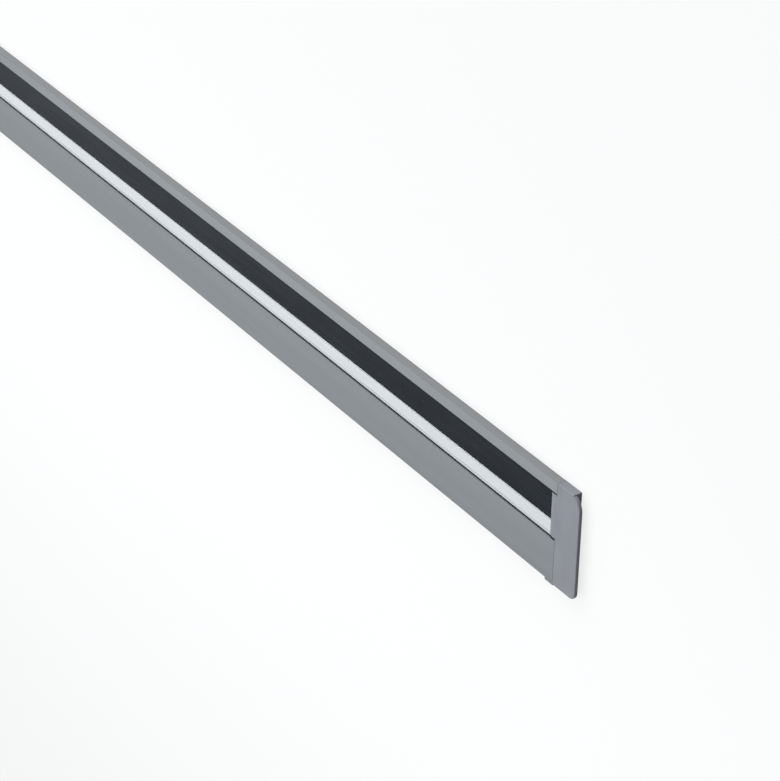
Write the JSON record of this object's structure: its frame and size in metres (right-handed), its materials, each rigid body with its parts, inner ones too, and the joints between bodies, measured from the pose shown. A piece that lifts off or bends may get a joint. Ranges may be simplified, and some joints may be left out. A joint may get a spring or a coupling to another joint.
{
  "type": "aluminium extrusion profile",
  "caption": "Slim satin aluminium extrusion lying on its back, with a recessed black strip, a white light cover beside it and a moulded grey cap with rounded corners on each end",
  "frame": {"origin": "centre of the bounding box in plan, on the floor under the back face", "axes": "+X along the extrusion, +Y from the foot of the section to its lip, +Z out of its face"},
  "size_m": [1.049, 0.082, 0.007],
  "materials": {
    "satin_aluminium": "satin anodised, with fine lines along the length",
    "black_plastic": "glossy",
    "opal_plastic": "satin opal",
    "grey_plastic": "fine moulded grain"
  },
  "bodies": {
    "root": {"profile": "satin_aluminium", "black_strip": "black_plastic", "diffuser": "opal_plastic", "end_cap_right": "grey_plastic", "end_cap_left": "grey_plastic"}
  },
  "joints": []
}
